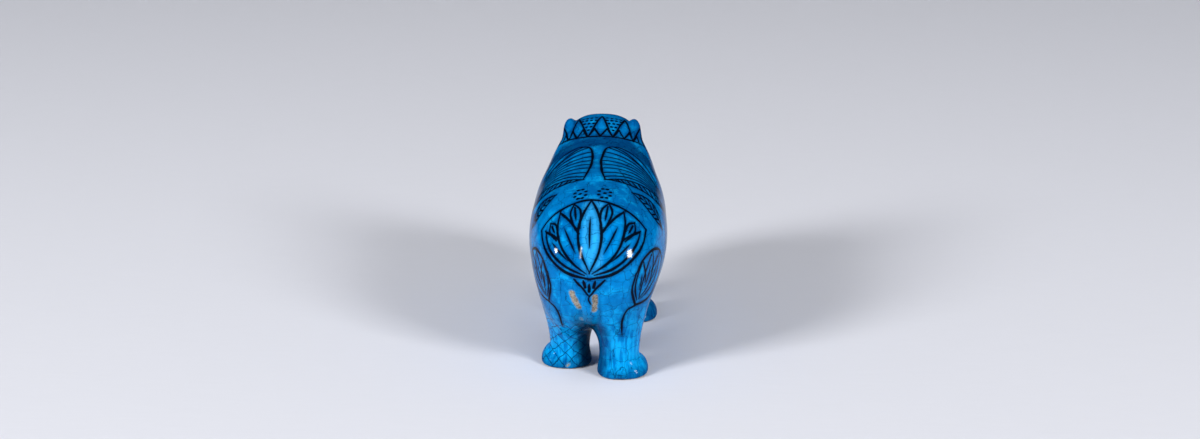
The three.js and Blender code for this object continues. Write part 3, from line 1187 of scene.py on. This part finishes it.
# The plain pale floor and the soft studio light
studio = {
    "floor": srgb(222, 223, 230),
    "brushed": (6, 90, 1),
    "grain": (6, 4, 0.6),
    "grainDark": 0.96,
    "reach": 4.5,  # m from the middle to where the floor bends up into the backdrop
    "bend": 1.5,
    "wall": 3.0,
    "shine": (0.9, 0.15),  # m from the figure, between which the floor fades in the glaze's reflections
    "shineAt": 0.0002,
    "glow": 0.65,
    "aim": (0, 0, 0.06),
    # the fills light the figure without showing in its glaze, and the small glints only show in it.
    # Each is a name, the way to it, its distance, its width and height in m, and its power in W
    "fills": [
        ("fill_right", (-0.66, 0.65, 0.42), 4, (1.05, 1.05), 120),
        ("fill_left", (0.68, 0.64, 0.42), 4, (1.05, 1.05), 150),
        ("fill_above", (0.05, 0.3, 1), 2.2, (1.2, 1.2), 7.5),
    ],
    "glints": [
        ("glint_right", (-0.90, 0.38, 0.12), 1.9, (0.36, 0.36), 72),
        ("glint_left", (0.95, 0.20, 0.10), 1.9, (0.2, 0.2), 24),
        ("glint_back", (0.36, 0.85, 0.28), 2.2, (0.1, 0.8), 26),
    ],
    "world": (0.88, 0.91, 0.96),
    "worldStrength": 0.18,
}


def darker(colour, share):
    return tuple(part * share for part in colour)


def floorSurface(place):
    # the floor, faintly brushed from side to side
    grain = place.stretched(studio["brushed"]).noise(*studio["grain"])
    return place.node("ShaderNodeBsdfPrincipled", {}, {
        "Base Color": grain.mix(darker(studio["floor"], studio["grainDark"]), studio["floor"]),
        "Roughness": 0.6,
        "Specular IOR Level": 0.0,
    })


def shineSurface(place):
    # the floor as the glaze reflects it, fading out all around
    away = place.node("ShaderNodeVectorMath", {"operation": "LENGTH"}, {0: place}, 1)
    colour = away.step(*studio["shine"]).mix((0, 0, 0), darker(studio["floor"], studio["glow"]))
    return place.node("ShaderNodeBsdfDiffuse", {}, {0: colour})


def addStage(name, corners, faces, material):
    mesh = bpy.data.meshes.new(name)
    mesh.from_pydata(corners, [], faces)
    mesh.polygons.foreach_set("use_smooth", np.ones(len(faces), bool))
    mesh.materials.append(material)
    made = addObject(name, mesh)
    return made


def addFloor(turns=96, bends=14):
    # a round floor that runs up into a backdrop; the glaze reflects a sheet of its own instead
    reach, bend = studio["reach"], studio["bend"]
    profile = [(reach / 2, 0)]
    for swing in np.linspace(0, math.pi / 2, bends):
        profile.append((reach + bend * math.sin(swing), bend * (1 - math.cos(swing))))
    profile.append((reach + bend, studio["wall"]))
    corners = [(0, 0, 0)]
    for turn in np.linspace(0, 2 * math.pi, turns, endpoint=False):
        corners += [(out * math.cos(turn), out * math.sin(turn), up) for out, up in profile]
    faces = []
    for turn in range(turns):
        here = 1 + turn * len(profile)
        there = 1 + (turn + 1) % turns * len(profile)
        faces.append((0, here, there))
        for ring in range(len(profile) - 1):
            faces.append((here + ring, here + ring + 1, there + ring + 1, there + ring))
    floor = addStage("floor", corners, faces, newMaterial("pale_floor", floorSurface))
    floor.visible_glossy = False
    out, up = studio["shine"][0], studio["shineAt"]
    square = [(-out, -out, up), (out, -out, up), (out, out, up), (-out, out, up)]
    sheet = addStage("floor_shine", square, [(0, 1, 2, 3)], newMaterial("floor_shine", shineSurface))
    sheet.visible_camera = sheet.visible_diffuse = sheet.visible_shadow = False


def addLight(fill, name, towards, distance, size, power):
    lamp = bpy.data.lights.new(name, "AREA")
    lamp.shape = "RECTANGLE"
    lamp.size, lamp.size_y = size
    lamp.energy = power
    made = addObject(name, lamp)
    towards = Vector(towards).normalized()
    made.location = Vector(studio["aim"]) + towards * distance
    made.rotation_euler = (-towards).to_track_quat("-Z", "Y").to_euler()
    made.visible_camera = False
    made.visible_diffuse = fill
    made.visible_glossy = not fill


def addWorld():
    world = bpy.data.worlds.new("studio")
    world.use_nodes = True
    sky = world.node_tree.nodes["Background"].inputs
    sky["Color"].default_value = (*studio["world"], 1)
    sky["Strength"].default_value = studio["worldStrength"]
    world.cycles_visibility.glossy = False
    bpy.context.scene.world = world
    bpy.context.scene.view_settings.view_transform = "Standard"


addFloor()
for light in studio["fills"]:
    addLight(True, *light)
for light in studio["glints"]:
    addLight(False, *light)
addWorld()
print("floor and lights set")
